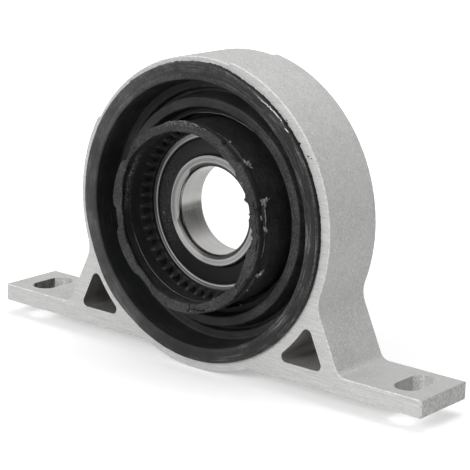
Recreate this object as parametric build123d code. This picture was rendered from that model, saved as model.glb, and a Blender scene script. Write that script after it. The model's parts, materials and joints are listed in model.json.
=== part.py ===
from build123d import *
import os
from math import cos, radians, sin, sqrt, tan

# Driveshaft centre bearing: an extruded aluminium bracket, a rubber mount and a sealed ball bearing.
# Millimetres. Y is the shaft's axis, with the photographed front towards -Y. X runs along the two feet
# and Z points up. The origin is the middle of the bearing, on the shaft's axis.

# Ball bearing
bore_diameter = 30.0
bearing_diameter = 55.0
inner_race_stand = 1.0
ball_count = 11
bore_corner_radius = 1.5
race_corner = 0.6
face_line_inset = 1.55
face_line_width = 0.25
face_line_depth = 0.15
groove_conformity = 1.04
ball_race_gap = 0.05

# Shares of the bearing's section, from its bore to its outside
ball_share = 0.57152
inner_shoulder_share = 0.188
outer_shoulder_share = 0.172
seal_seat_share = 0.136

# Seals
seal_thickness = 0.9
seal_setback = 0.15
seal_cage_gap = 0.198
seal_bead_setback = 0.36
seal_bead_depth = 0.8
seal_bead_height = 1.0
seal_lip_gap = 0.06
seal_lip_width = 0.7

# Ball cage
cage_sheet = 0.6
cage_band_width = 3.0
cage_pocket_gap = 0.08
rivet_diameter = 1.0
rivet_head_diameter = 1.9
rivet_head_height = 0.35

# Steel sleeves
inner_sleeve_wall = 1.5
inner_sleeve_stand = 0.5
outer_sleeve_wall = 1.6
outer_sleeve_setback = 0.8
bond_gap = 0.15

# Aluminium bracket
bracket_width = 25.5
bearing_setback = 0.75
ring_bore_diameter = 100.0
ring_wall = 3.5
ring_flat_depth = 0.8
ring_flat_start = 78.5
ring_flat_end = 150.5
bracket_length = 182.0
foot_thickness = 6.0
ring_below_feet = 5.0
slot_inset = 11.0
slot_width = 9.0
slot_length = 17.0
gusset_angle = 65.3
gusset_leaves_ring = -23.0
gusset_wall = 5.3
gusset_root_radius = 4.0
waist_radius = 9.0
ring_foot_radius = 1.0
foot_end_radius = 0.6
cavity_ring_wall = 3.9
cavity_corner_radius = 1.9
edge_break = 0.3

# Rubber mount. A depth is counted from the bracket's front face towards the back.
rim_stand = 1.75
rim_overlap = 0.4
rim_outer_round = 0.6
rim_inner_round = 1.2
band_mouth_wall = 4.4
band_taper = 1.4
band_step_depth = 8.6
band_step_width = 2.7
band_rear_setback = 0.6
fold_crest_depth = 3.9
fold_channel_depth = 9.2
fold_channel_width = 1.3
outer_groove_depth = 10.8
web_thickness = 3.0
web_back_inset = 1.7
groove_round = 0.6

# Where the fold's corners lie, as shares of the room between the hub and the band's step
inner_root_share = 0.223
inner_crest_share = 0.407
outer_crest_share = 0.728
rear_corner_share = 0.762
outer_root_share = 0.854
outer_groove_share = 0.951

# Radii at the fold's corners, as shares of the width between two corners
crest_roundness = 0.21
outer_groove_roundness = 0.4
inner_groove_roundness = 0.26

# Hub and collar of the rubber mount. An inset is counted inwards from the hub's outside.
hub_wall = 2.05
hub_rear_lip = 0.4
collar_reach = 8.0
collar_notch_inset = 1.15
collar_rim_inset = 2.7
collar_mouth_inset = 2.0
collar_step_depth = -1.8
collar_step = 0.35
lug_count = 8
lug_first_angle = 166.0
lug_spread = 33.0
lug_overhang = 0.6
lug_length = 2.7
lug_round = 0.9
rib_count = 47
rib_first_angle = 1.65
rib_width = 1.2
rib_start_depth = 3.9
rib_start_inset = 2.3
rib_end_inset = 3.4
rib_floor_thickness = 0.4
rib_floor_inset = 3.5

# Places that follow from the sizes above
race_radius = bearing_diameter / 2
bore_radius = bore_diameter / 2
race_section = race_radius - bore_radius
pitch_radius = bore_radius + race_section / 2
ball_diameter = ball_share * race_section
ball_radius = ball_diameter / 2
groove_radius = ball_radius * groove_conformity
inner_shoulder_radius = pitch_radius - inner_shoulder_share * race_section
outer_shoulder_radius = pitch_radius + outer_shoulder_share * race_section
seal_seat_radius = outer_shoulder_radius + seal_seat_share * race_section
cage_side = cage_pocket_gap + cage_sheet
outer_race_width = ball_diameter + 2 * (cage_side + seal_cage_gap + seal_thickness + seal_setback)
inner_race_width = outer_race_width + 2 * inner_race_stand
inner_sleeve_length = outer_race_width + 2 * inner_sleeve_stand
front_face = -bearing_setback - bracket_width / 2
rear_face = front_face + bracket_width
bracket_bore_radius = ring_bore_diameter / 2
ring_radius = bracket_bore_radius + ring_wall
foot_drop = ring_radius - ring_below_feet
foot_top = foot_thickness - foot_drop
slot_spacing = bracket_length - 2 * slot_inset
sleeve_radius = race_radius + inner_sleeve_wall
rubber_seat_radius = sleeve_radius + bond_gap
outer_sleeve_bore = bracket_bore_radius - outer_sleeve_wall
band_mouth_radius = bracket_bore_radius - band_mouth_wall
band_step_radius = band_mouth_radius - band_taper
hub_radius = rubber_seat_radius + hub_wall
collar_notch_radius = hub_radius - collar_notch_inset
collar_rim_radius = hub_radius - collar_rim_inset
collar_mouth_radius = hub_radius - collar_mouth_inset
collar_wall_radius = collar_mouth_radius + collar_step
lug_radius = hub_radius + lug_overhang
rib_floor_radius = hub_radius - rib_floor_inset


def at_depth(depth):
    """The place along the shaft at a depth behind the bracket's front face."""
    return front_face + depth


def turned(outline):
    """A solid of revolution about the shaft, from corner points given as (radius, place along Y)."""
    return revolve(make_face(Polyline(*outline, close=True)), Axis.Y)


def rounded(face, radius, *corners):
    """The face with the named corners rounded."""
    chosen = [min(face.vertices(), key=lambda v: (v.X - x) ** 2 + (v.Y - y) ** 2) for x, y in corners]
    return fillet(chosen, radius)


def around(solid, angle):
    """The solid carried round the shaft by an angle, counted anticlockwise from +X in the front view."""
    return Rot(0, -angle, 0) * solid


def wedge(reach, start, end):
    """A flat wedge from the axis between two angles, for cutting arcs of rings."""
    middle = (start + end) / 2
    far = reach / cos(radians(end - start) / 2)
    points = [(0, 0)]
    points += [(far * cos(radians(a)), far * sin(radians(a))) for a in (start, middle, end)]
    return make_face(Polyline(*points, close=True))


def front_plane(place):
    """A sketch plane across the shaft, seen from the front, whose solids grow towards the front."""
    return Plane(origin=(0, place, 0), x_dir=(1, 0, 0), z_dir=(0, -1, 0))


def gusset_meeting():
    """The point where the right-hand gusset's outer face runs into the ring."""
    angle = radians(gusset_leaves_ring)
    return ring_radius * cos(angle), ring_radius * sin(angle)


def gusset_x(height, inset=0.0):
    """Where the gusset's outer face, or a line inset from it, stands at a height."""
    slope = radians(gusset_angle)
    x, z = gusset_meeting()
    return x - (height - z) / tan(slope) - inset / sin(slope)


def cavity():
    """The rounded triangular hollow in the right-hand gusset."""
    foot_corner = (gusset_x(foot_top, gusset_wall), foot_top)
    upper_corner = (gusset_x(0, gusset_wall), 0)
    hollow = make_face(Polyline((0, foot_top), foot_corner, upper_corner, close=True))
    hollow -= Circle(bracket_bore_radius + cavity_ring_wall)
    return fillet(hollow.vertices(), cavity_corner_radius)


def bracket_outline():
    """The extrusion's section, seen from the front."""
    ring = Circle(ring_radius)
    flat = Circle(ring_radius * 2) - Circle(ring_radius - ring_flat_depth)
    ring -= flat & wedge(ring_radius * 2, ring_flat_start, ring_flat_end)
    feet = Pos(0, foot_top - foot_thickness / 2) * Rectangle(bracket_length, foot_thickness)
    high, meet = gusset_meeting()
    right = gusset_x(foot_top)
    corners = [(-right, foot_top), (right, foot_top), (high, meet), (-high, meet)]
    section = ring + feet + make_face(Polyline(*corners, close=True))
    under = sqrt(ring_radius ** 2 - foot_drop ** 2)
    end = bracket_length / 2
    for side in (-1, 1):
        section = rounded(section, waist_radius, (side * high, meet))
        section = rounded(section, gusset_root_radius, (side * right, foot_top))
        section = rounded(section, ring_foot_radius, (side * under, -foot_drop))
        section = rounded(section, foot_end_radius, (side * end, -foot_drop))
    return section


def housing():
    """The bracket: the section cut to length, its sawn edges broken, with the bore, hollows and slots."""
    body = extrude(front_plane(rear_face) * bracket_outline(), bracket_width)
    ends = body.faces().filter_by(Axis.Y)
    body = chamfer([edge for face in ends for edge in face.edges()], edge_break)
    body -= extrude(front_plane(rear_face) * Circle(bracket_bore_radius), bracket_width)
    hollow = extrude(front_plane(rear_face) * cavity(), bracket_width)
    body -= hollow
    body -= mirror(hollow, Plane.YZ)
    middle = (front_face + rear_face) / 2
    slot = Rot(0, 0, 90) * SlotOverall(slot_length, slot_width)
    for side in (-1, 1):
        place = Pos(side * slot_spacing / 2, middle, -foot_drop)
        body -= extrude(place * slot, foot_thickness)
    return body


def outer_sleeve():
    """The steel tube pressed into the bracket's bore."""
    front = at_depth(outer_sleeve_setback)
    rear = at_depth(bracket_width - band_rear_setback)
    return turned([
        (outer_sleeve_bore, front),
        (bracket_bore_radius, front),
        (bracket_bore_radius, rear),
        (outer_sleeve_bore, rear),
    ])


def inner_sleeve():
    """The steel seat that the bearing is pressed into."""
    front = -inner_sleeve_length / 2
    return turned([
        (race_radius, front),
        (sleeve_radius, front),
        (sleeve_radius, -front),
        (race_radius, -front),
    ])


def fold_radius(share):
    """A radius in the room between the hub and the band's step."""
    return hub_radius + share * (band_step_radius - band_step_width - hub_radius)


def rubber_section():
    """Half the rubber's section, as (radius, place along Y), from the rim round the front to the back."""
    rim_radius = bracket_bore_radius + rim_overlap
    step_inner = band_step_radius - band_step_width
    groove_outer = fold_radius(outer_groove_share)
    root_outer = fold_radius(outer_root_share)
    crest_outer = fold_radius(outer_crest_share)
    crest_inner = fold_radius(inner_crest_share)
    root_inner = fold_radius(inner_root_share)
    channel_outer = (crest_outer + crest_inner + fold_channel_width) / 2
    channel_inner = channel_outer - fold_channel_width
    sleeve_front = -inner_sleeve_length / 2
    hub_rear = inner_sleeve_length / 2 + hub_rear_lip
    floor_front = sleeve_front - bond_gap - rib_floor_thickness
    collar_front = at_depth(-collar_reach)
    lug_rear = collar_front + lug_length
    step_place = at_depth(collar_step_depth)
    rim_front = at_depth(-rim_stand)
    step_front = at_depth(band_step_depth)
    crest = at_depth(fold_crest_depth)
    outer_floor = at_depth(outer_groove_depth)
    outer_back = outer_floor + web_thickness
    inner_back = hub_rear - web_back_inset
    inner_floor = inner_back - web_thickness
    channel = at_depth(fold_channel_depth)
    band_rear = at_depth(bracket_width - band_rear_setback)
    front_side = [
        (rim_radius, front_face),
        (rim_radius, rim_front),
        (band_mouth_radius, rim_front),
        (band_step_radius, step_front),
        (step_inner, step_front),
        (groove_outer, outer_floor),
        (root_outer, outer_floor),
        (crest_outer, crest),
        (crest_inner, crest),
        (root_inner, inner_floor),
        (hub_radius, inner_floor),
        (hub_radius, lug_rear),
        (collar_notch_radius, lug_rear),
        (collar_notch_radius, collar_front),
        (collar_rim_radius, collar_front),
        (collar_mouth_radius, step_place),
        (collar_wall_radius, step_place + collar_step),
        (collar_wall_radius, floor_front),
        (rib_floor_radius, floor_front),
        (rib_floor_radius, sleeve_front - bond_gap),
        (rubber_seat_radius, sleeve_front - bond_gap),
    ]
    rear_side = [
        (rubber_seat_radius, hub_rear),
        (hub_radius, hub_rear),
        (hub_radius, inner_back),
        (channel_inner, inner_back),
        (channel_inner, channel),
        (channel_outer, channel),
        (fold_radius(rear_corner_share), outer_back),
        (band_step_radius, outer_back),
        (band_step_radius + collar_step, band_rear),
        (outer_sleeve_bore, band_rear),
        (outer_sleeve_bore, at_depth(outer_sleeve_setback)),
        (bracket_bore_radius, at_depth(outer_sleeve_setback)),
        (bracket_bore_radius, front_face),
    ]
    section = make_face(Polyline(*front_side, *rear_side, close=True))
    section = rounded(section, rim_outer_round, (rim_radius, rim_front))
    section = rounded(section, rim_inner_round, (band_mouth_radius, rim_front))
    crest_round = (crest_outer - crest_inner) * crest_roundness
    section = rounded(section, crest_round, (crest_outer, crest), (crest_inner, crest))
    outer_round = (groove_outer - root_outer) * outer_groove_roundness
    section = rounded(section, outer_round, (groove_outer, outer_floor), (root_outer, outer_floor))
    inner_round = (root_inner - hub_radius) * inner_groove_roundness
    section = rounded(section, inner_round, (root_inner, inner_floor), (hub_radius, inner_floor))
    section = rounded(section, groove_round, (band_step_radius, step_front), (step_inner, step_front))
    return rounded(section, groove_round, (band_step_radius, outer_back), (hub_radius, inner_back))


def collar_lug():
    """One lug on the collar's rim, lying on +X."""
    half = lug_spread / 2
    ring = Circle(lug_radius) - Circle(collar_mouth_radius)
    sector = ring & wedge(lug_radius * 2, -half, half)
    corner = (lug_radius * cos(radians(half)), lug_radius * sin(radians(half)))
    sector = rounded(sector, lug_round, corner, (corner[0], -corner[1]))
    return extrude(front_plane(at_depth(lug_length - collar_reach)) * sector, lug_length)


def seat_rib():
    """One small rib in front of the bearing, lying on +X."""
    root = (hub_radius + collar_wall_radius) / 2
    floor = -inner_sleeve_length / 2 - bond_gap - rib_floor_thickness
    start = at_depth(rib_start_depth)
    outline = [
        (root, start),
        (hub_radius - rib_start_inset, start),
        (hub_radius - rib_end_inset, floor),
        (root, floor),
    ]
    return extrude(make_face(Polyline(*outline, close=True)), rib_width / 2, both=True)


def rubber_mount():
    """The one-piece rubber moulding: band, bellows fold, hub, collar with lugs, and seat ribs."""
    body = revolve(rubber_section(), Axis.Y)
    lug = collar_lug()
    lugs = [around(lug, lug_first_angle + 360 * i / lug_count) for i in range(lug_count)]
    rib = seat_rib()
    ribs = [around(rib, rib_first_angle + 360 * i / rib_count) for i in range(rib_count)]
    return body.fuse(*lugs, *ribs)


def raceway(centre_radius):
    """The ring-shaped groove that the balls run in."""
    return revolve(Pos(centre_radius, 0) * Circle(groove_radius), Axis.Y)


def seal_groove(side):
    """The space in the outer race that one seal snaps into."""
    face = side * outer_race_width / 2
    bead = seal_seat_radius + seal_bead_depth
    bead_start = face - side * (seal_setback + seal_bead_setback)
    bead_end = bead_start - side * seal_bead_height
    bore = outer_shoulder_radius - race_corner
    return turned([
        (bore, face),
        (seal_seat_radius, face),
        (seal_seat_radius, bead_start),
        (bead, bead_start),
        (bead, bead_end),
        (bore, bead_end),
    ])


def face_line(side):
    """The fine turned line round one face of the outer race."""
    outer = race_radius - face_line_inset + face_line_width
    face = side * outer_race_width / 2
    floor = face - side * face_line_depth
    return turned([
        (outer - face_line_width, face),
        (outer, face),
        (outer, floor),
        (outer - face_line_width, floor),
    ])


def outer_race():
    """The bearing's outer ring."""
    half = outer_race_width / 2
    ring = turned([
        (outer_shoulder_radius, -half),
        (race_radius - race_corner, -half),
        (race_radius, race_corner - half),
        (race_radius, half - race_corner),
        (race_radius - race_corner, half),
        (outer_shoulder_radius, half),
    ])
    ring -= raceway(pitch_radius + ball_radius + ball_race_gap - groove_radius)
    for side in (-1, 1):
        ring -= seal_groove(side)
        ring -= face_line(side)
    return ring


def inner_race():
    """The bearing's inner ring, with rounded bore corners."""
    half = inner_race_width / 2
    shoulder = inner_shoulder_radius
    corners = [(bore_radius, -half), (shoulder, -half), (shoulder, half), (bore_radius, half)]
    section = make_face(Polyline(*corners, close=True))
    section = rounded(section, bore_corner_radius, corners[0], corners[3])
    section = rounded(section, race_corner / 2, corners[1], corners[2])
    return revolve(section, Axis.Y) - raceway(pitch_radius - ball_radius - ball_race_gap + groove_radius)


def seal(side):
    """One contact seal: a bead in the outer race, a flat disc and a lip at the inner race."""
    face = side * (outer_race_width / 2 - seal_setback)
    back = face - side * seal_thickness
    seat = seal_seat_radius
    bead_start = face - side * seal_bead_setback
    bead_end = bead_start - side * seal_bead_height
    lip = inner_shoulder_radius + seal_lip_gap
    waist = lip + seal_lip_width
    dip = face - side * seal_thickness / 2
    return turned([
        (lip, dip),
        (waist, face),
        (seat, face),
        (seat, bead_start),
        (seat + seal_bead_depth, bead_start),
        (seat + seal_bead_depth, bead_end),
        (seat - seal_bead_depth, bead_end),
        (seat - seal_bead_depth, back),
        (lip, back),
    ])


def ball_angle(index):
    """Where a ball stands round the shaft, in degrees."""
    return 90 + 360 * index / ball_count


def ball_place(index):
    """A ball's centre."""
    angle = radians(ball_angle(index))
    return (pitch_radius * cos(angle), 0, pitch_radius * sin(angle))


def ball(index):
    """One ball."""
    return Pos(*ball_place(index)) * Sphere(ball_radius)


def pocket_ball(index, radius, side):
    """A sphere on a ball's centre, its seam turned away from the cage half on the given side."""
    angle = radians(ball_angle(index))
    place = Plane(origin=ball_place(index), x_dir=(0, -side, 0), z_dir=(cos(angle), 0, sin(angle)))
    return place * Sphere(radius)


def cage_half(side):
    """One pressed half of the cage: flat lands between the balls and a dome over each ball."""
    inner = pitch_radius - cage_band_width / 2
    outer = pitch_radius + cage_band_width / 2
    pocket = ball_radius + cage_pocket_gap
    low, high = sorted((0, side * ball_diameter))
    band = turned([(inner, low), (outer, low), (outer, high), (inner, high)])
    land_low, land_high = sorted((0, side * cage_sheet))
    lands = turned([(inner, land_low), (outer, land_low), (outer, land_high), (inner, land_high)])
    indexes = range(ball_count)
    domes = [pocket_ball(i, pocket + cage_sheet, side) & band for i in indexes]
    half = lands.fuse(*domes)
    pockets = [pocket_ball(i, pocket, side) for i in indexes]
    holes = [rivet_bar(i, rivet_diameter / 2, -cage_sheet, cage_sheet) for i in indexes]
    return half.cut(*pockets, *holes)


def rivet_bar(index, radius, start, end):
    """A round bar through the cage midway between two balls."""
    angle = radians(ball_angle(index + 0.5))
    place = (pitch_radius * cos(angle), end, pitch_radius * sin(angle))
    return extrude(Plane(origin=place, z_dir=(0, -1, 0)) * Circle(radius), end - start)


def cage_rivets():
    """The rivets that hold the two halves of the cage together."""
    rivets = []
    reach = cage_sheet + rivet_head_height
    for index in range(ball_count):
        shank = rivet_bar(index, rivet_diameter / 2, -reach, reach)
        heads = [
            rivet_bar(index, rivet_head_diameter / 2, cage_sheet, reach),
            rivet_bar(index, rivet_head_diameter / 2, -reach, -cage_sheet),
        ]
        rivets.append(shank.fuse(*heads))
    return Compound(children=rivets)


def build():
    """Every node by name."""
    nodes = {
        "housing": housing(),
        "outer_sleeve": outer_sleeve(),
        "rubber_mount": rubber_mount(),
        "inner_sleeve": inner_sleeve(),
        "outer_race": outer_race(),
        "inner_race": inner_race(),
        "front_seal": seal(-1),
        "rear_seal": seal(1),
        "cage_front": cage_half(-1),
        "cage_rear": cage_half(1),
        "cage_rivets": cage_rivets(),
    }
    for index in range(ball_count):
        nodes[f"ball_{index + 1:02d}"] = ball(index)
    return nodes


os.makedirs("parts", exist_ok=True)
for name, solid in build().items():
    export_step(solid, f"parts/{name}.step")
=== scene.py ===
import json
from math import cos, degrees, pi, radians, sin

import bpy
import numpy as np
from mathutils import Matrix, Vector


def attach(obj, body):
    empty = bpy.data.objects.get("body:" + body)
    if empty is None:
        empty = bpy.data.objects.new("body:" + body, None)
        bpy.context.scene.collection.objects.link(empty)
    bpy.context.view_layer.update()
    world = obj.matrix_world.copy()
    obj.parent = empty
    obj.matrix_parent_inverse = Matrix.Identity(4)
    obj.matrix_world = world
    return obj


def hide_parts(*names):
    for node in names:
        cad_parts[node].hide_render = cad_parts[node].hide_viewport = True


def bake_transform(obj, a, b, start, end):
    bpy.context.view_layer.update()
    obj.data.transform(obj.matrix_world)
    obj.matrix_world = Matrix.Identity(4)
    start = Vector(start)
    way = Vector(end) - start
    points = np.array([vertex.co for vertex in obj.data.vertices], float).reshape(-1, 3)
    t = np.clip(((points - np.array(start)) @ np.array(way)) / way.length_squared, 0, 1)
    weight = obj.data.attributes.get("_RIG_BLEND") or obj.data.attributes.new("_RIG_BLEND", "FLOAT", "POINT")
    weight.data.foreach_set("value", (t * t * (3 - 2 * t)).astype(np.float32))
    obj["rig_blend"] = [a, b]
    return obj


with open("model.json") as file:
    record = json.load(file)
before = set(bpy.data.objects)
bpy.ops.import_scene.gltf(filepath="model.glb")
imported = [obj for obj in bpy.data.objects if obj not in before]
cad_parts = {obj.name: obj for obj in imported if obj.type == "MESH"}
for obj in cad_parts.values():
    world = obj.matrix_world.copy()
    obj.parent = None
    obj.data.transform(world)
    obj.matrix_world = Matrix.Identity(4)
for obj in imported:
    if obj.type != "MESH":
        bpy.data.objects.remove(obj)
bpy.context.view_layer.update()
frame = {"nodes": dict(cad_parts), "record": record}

# Lengths below are millimetres until a mesh or a light is made. Angles are degrees, counted anticlockwise
# from +X as the front is seen, and depths are counted from the bracket's front face towards the back.
MM = 0.001
FRONT_FACE = -13.5
FLOOR = -53.5

# Camera: the photograph's view, fitted to the object's edges
CAMERA_AZIMUTH = 38.655
CAMERA_ELEVATION = 14.461
CAMERA_ROLL = 1.868
CAMERA_DISTANCE = 595.733
CAMERA_AIM_RIGHT = 11.886
CAMERA_AIM_UP = -6.699
CAMERA_LENS = 137.77


# Camera and studio

def camera():
    """The camera at the photograph's viewing angle, aimed near the ring's front."""
    turn = radians(CAMERA_AZIMUTH)
    lift = radians(CAMERA_ELEVATION)
    roll = radians(CAMERA_ROLL)
    back = Vector((sin(turn) * cos(lift), -cos(turn) * cos(lift), sin(lift)))
    right = Vector((cos(turn), sin(turn), 0))
    up = back.cross(right)
    level = (right * cos(roll) + up * sin(roll), up * cos(roll) - right * sin(roll))
    place = level[0] * CAMERA_AIM_RIGHT + level[1] * CAMERA_AIM_UP + back * CAMERA_DISTANCE
    place += Vector((0, FRONT_FACE, 0))
    data = bpy.data.cameras.new("camera")
    data.lens = CAMERA_LENS
    data.sensor_width = 36
    data.clip_start = 0.01
    item = bpy.data.objects.new("camera", data)
    bpy.context.collection.objects.link(item)
    turned = Matrix((level[0], level[1], back)).transposed().to_4x4()
    item.matrix_world = Matrix.Translation(place * MM) @ turned
    bpy.context.scene.camera = item


def area_light(name, place, size, power):
    """A round lamp, aimed at the bearing, with its place and size in metres."""
    data = bpy.data.lights.new(name, "AREA")
    data.shape = "DISK"
    data.size = size
    data.energy = power
    item = bpy.data.objects.new(name, data)
    bpy.context.collection.objects.link(item)
    item.location = place
    item.rotation_euler = (-Vector(place)).to_track_quat("-Z", "Y").to_euler()


class Tree:
    """A node tree that is built step by step."""

    def __init__(self, tree):
        self.tree = tree

    def feed(self, socket, value):
        if isinstance(value, bpy.types.NodeSocket):
            self.tree.links.new(value, socket)
        else:
            socket.default_value = value

    def node(self, kind, inputs=None, **settings):
        made = self.tree.nodes.new("ShaderNode" + kind)
        for key, value in settings.items():
            setattr(made, key, value)
        for key, value in (inputs or {}).items():
            self.feed(made.inputs[key], value)
        return made

    def math(self, operation, *values):
        return self.node("Math", dict(enumerate(values)), operation=operation).outputs[0]

    def chain(self, operation, values):
        total = values[0]
        for value in values[1:]:
            total = self.math(operation, total, value)
        return total

    def add(self, *values):
        return self.chain("ADD", values)

    def times(self, *values):
        return self.chain("MULTIPLY", values)

    def most(self, *values):
        return self.chain("MAXIMUM", values)

    def above(self, value, limit):
        return self.math("GREATER_THAN", value, limit)

    def below(self, value, limit):
        return self.math("LESS_THAN", value, limit)

    def clamp(self, value, low, high, to_low=0.0, to_high=1.0):
        """The value, stretched from one range to another and held inside it, with soft ends."""
        inputs = {0: value, 1: low, 2: high, 3: to_low, 4: to_high}
        return self.node("MapRange", inputs, interpolation_type="SMOOTHSTEP").outputs[0]

    def band(self, value, start, full, fade, end):
        """1 from full to fade and 0 beyond start and end, with soft sides between."""
        return self.times(self.clamp(value, start, full), self.clamp(value, end, fade))

    def mix(self, share, first, second):
        """Two colours mixed."""
        made = self.node("Mix", data_type="RGBA")
        for index, value in ((0, share), (6, first), (7, second)):
            if isinstance(value, tuple):
                value = (*value, 1)
            self.feed(made.inputs[index], value)
        return made.outputs[2]

    def noise(self, vector, scale, detail=2.0, rough=0.5):
        inputs = {"Vector": vector, "Scale": scale, "Detail": detail, "Roughness": rough}
        return self.node("TexNoise", inputs).outputs[0]

    def scaled(self, vector, x, y, z):
        inputs = {0: vector, 1: (x, y, z)}
        return self.node("VectorMath", inputs, operation="MULTIPLY").outputs[0]

    def split(self, vector):
        return self.node("SeparateXYZ", {0: vector}).outputs

    def join(self, x, y, z):
        return self.node("CombineXYZ", {0: x, 1: y, 2: z}).outputs[0]

    def across(self, first, second):
        """The distance that two sides at right angles span."""
        return self.math("SQRT", self.add(self.times(first, first), self.times(second, second)))


class Look(Tree):
    """A material: a Principled shader and the nodes that feed it. The place's x, y and z and its radius
    round the shaft are in millimetres."""

    def __init__(self, name, metallic=0.0, rough=0.5, specular=0.5, place=None):
        self.material = bpy.data.materials.new(name)
        self.material.use_nodes = True
        super().__init__(self.material.node_tree)
        self.shader = self.tree.nodes["Principled BSDF"]
        self.shader.inputs["Metallic"].default_value = metallic
        self.shader.inputs["Roughness"].default_value = rough
        self.shader.inputs["Specular IOR Level"].default_value = specular
        if place is None:
            self.place = self.node("TexCoord").outputs["Object"]
        else:
            self.place = self.node("Attribute", attribute_name=place).outputs["Vector"]
        self.x, self.y, self.z = self.split(self.scaled(self.place, 1 / MM, 1 / MM, 1 / MM))
        self.radius = self.across(self.x, self.z)

    def toward(self, turn):
        """1 in one direction from the shaft, 0 at right angles to it and -1 on the far side."""
        along = self.add(self.times(self.x, cos(radians(turn))), self.times(self.z, sin(radians(turn))))
        return self.math("DIVIDE", along, self.radius)

    def round_lines(self, wander, fine):
        """Coordinates that run slowly round the shaft and quickly across it, for turned or rubbed lines."""
        across = self.times(self.add(self.radius, self.times(self.y, 0.7)), fine)
        return self.join(self.times(self.toward(0), wander), self.times(self.toward(90), wander), across)

    def fine_noise(self, scale, detail, rough, low, high):
        """Noise over the place, from 0 to 1 between two of its levels."""
        return self.clamp(self.noise(self.place, scale, detail, rough), low, high)

    def bump(self, height, distance, strength):
        inputs = {"Height": height, "Distance": distance * MM, "Strength": strength}
        self.feed(self.shader.inputs["Normal"], self.node("Bump", inputs).outputs[0])

    def paint(self, color, rough=None):
        self.feed(self.shader.inputs["Base Color"], color)
        if rough is not None:
            self.feed(self.shader.inputs["Roughness"], rough)


def studio():
    """A white room: even light, one soft key from the front left, and walls that polished metal shows
    darker towards the right."""
    world = bpy.data.worlds.new("studio")
    bpy.context.scene.world = world
    world.use_nodes = True
    tree = Tree(world.node_tree)
    path = tree.node("LightPath").outputs
    heading = tree.split(tree.node("TexCoord").outputs["Generated"])
    wall = tree.clamp(heading[0], -0.1, 0.66, 0.78, 0.14)
    shiny = tree.most(wall, tree.below(heading[2], 0.0))
    fill = 0.5
    glossy = tree.times(path["Is Glossy Ray"], tree.math("SUBTRACT", shiny, fill))
    seen = tree.times(tree.most(path["Is Camera Ray"], path["Is Transmission Ray"]), 1 - fill)
    background = world.node_tree.nodes["Background"]
    background.inputs["Color"].default_value = (1, 1, 1, 1)
    tree.feed(background.inputs["Strength"], tree.add(glossy, fill, seen))
    area_light("key", (-0.1, -1.3, 0.6), 0.7, 11.6)
    area_light("top", (0.1, 0.2, 1.2), 0.9, 5.6)
    area_light("side", (1.2, 0.5, 0.5), 0.6, 1.9)
    bpy.context.scene.view_settings.view_transform = "Standard"


def floor():
    """The white floor, which keeps the object's shadow and runs into the white background. Polished metal
    shows it darker, and darkest far away, as in the photograph's room."""
    look = Look("floor", rough=1.0, specular=0.0)
    path = look.node("LightPath").outputs
    away = look.across(look.x, look.y)
    glow = look.times(path["Is Camera Ray"], look.clamp(away, 120.0, 600.0, 0.36, 1.0))
    shown = look.times(path["Is Glossy Ray"], 0.05)
    far = look.times(path["Is Glossy Ray"], look.clamp(away, 220.0, 360.0))
    look.paint(look.mix(far, (0.8, 0.8, 0.8), (0.2, 0.2, 0.2)))
    look.shader.inputs["Emission Color"].default_value = (1, 1, 1, 1)
    look.feed(look.shader.inputs["Emission Strength"], look.add(glow, shown))
    mesh = bpy.data.meshes.new("floor")
    reach = 3.0
    corners = [(-reach, -reach, 0), (reach, -reach, 0), (reach, reach, 0), (-reach, reach, 0)]
    mesh.from_pydata(corners, [], [(0, 1, 2, 3)])
    mesh.materials.append(look.material)
    item = bpy.data.objects.new("floor", mesh)
    item.location.z = FLOOR * MM
    bpy.context.collection.objects.link(item)


# Uneven shapes

# How many points a ring of the rubber's skin has
FINE, PLAIN, COARSE = 1080, 360, 180


def angles(count):
    """Evenly spaced angles round the shaft, in degrees."""
    return np.arange(count) * 360 / count


def ripple(turn, seed, waves, fade=1.0):
    """Smooth unevenness round the shaft, of about unit size, with up to that many waves in a turn."""
    rng = np.random.default_rng(seed)
    wave = np.arange(1, waves + 1)
    phase = rng.uniform(0, 2 * pi, waves)
    size = wave ** -fade
    value = (size[:, None] * np.sin(np.outer(wave, np.radians(turn)) + phase[:, None])).sum(0)
    return value / np.sqrt((size ** 2).sum() / 2)


def jagged(turn, seed, teeth):
    """Torn unevenness from 0 to 1, straight between that many uneven corners in a turn."""
    rng = np.random.default_rng(seed)
    knots = (np.arange(teeth) + rng.uniform(-0.4, 0.4, teeth)) * 360 / teeth
    return np.interp(turn, knots, rng.uniform(0, 1, teeth), period=360)


def listed(turn, pairs):
    """A value that runs straight between listed angles."""
    return np.interp(turn, [a for a, _ in pairs], [v for _, v in pairs], period=360)


def eased(share):
    """A share from 0 to 1 with soft ends."""
    share = np.clip(share, 0, 1)
    return share * share * (3 - 2 * share)


def near(turn, centre, half, soft=None):
    """1 around an angle, falling to 0 at half its width away, over the soft part of it."""
    away = np.abs((np.asarray(turn) - centre + 180) % 360 - 180)
    return eased((half - away) / (soft or half))


def repeated(turn, first, count):
    """How far each angle is from the nearest of evenly spaced ones."""
    return np.abs((turn - first + 180 / count) % (360 / count) - 180 / count)


def write_attribute(mesh, name, values, kind="FLOAT"):
    """Keeps one value, or one vector, for each of the mesh's points."""
    attribute = mesh.attributes.new(name, kind, "POINT")
    field = "vector" if kind == "FLOAT_VECTOR" else "value"
    attribute.data.foreach_set(field, np.asarray(values, np.float32).ravel())


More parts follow.
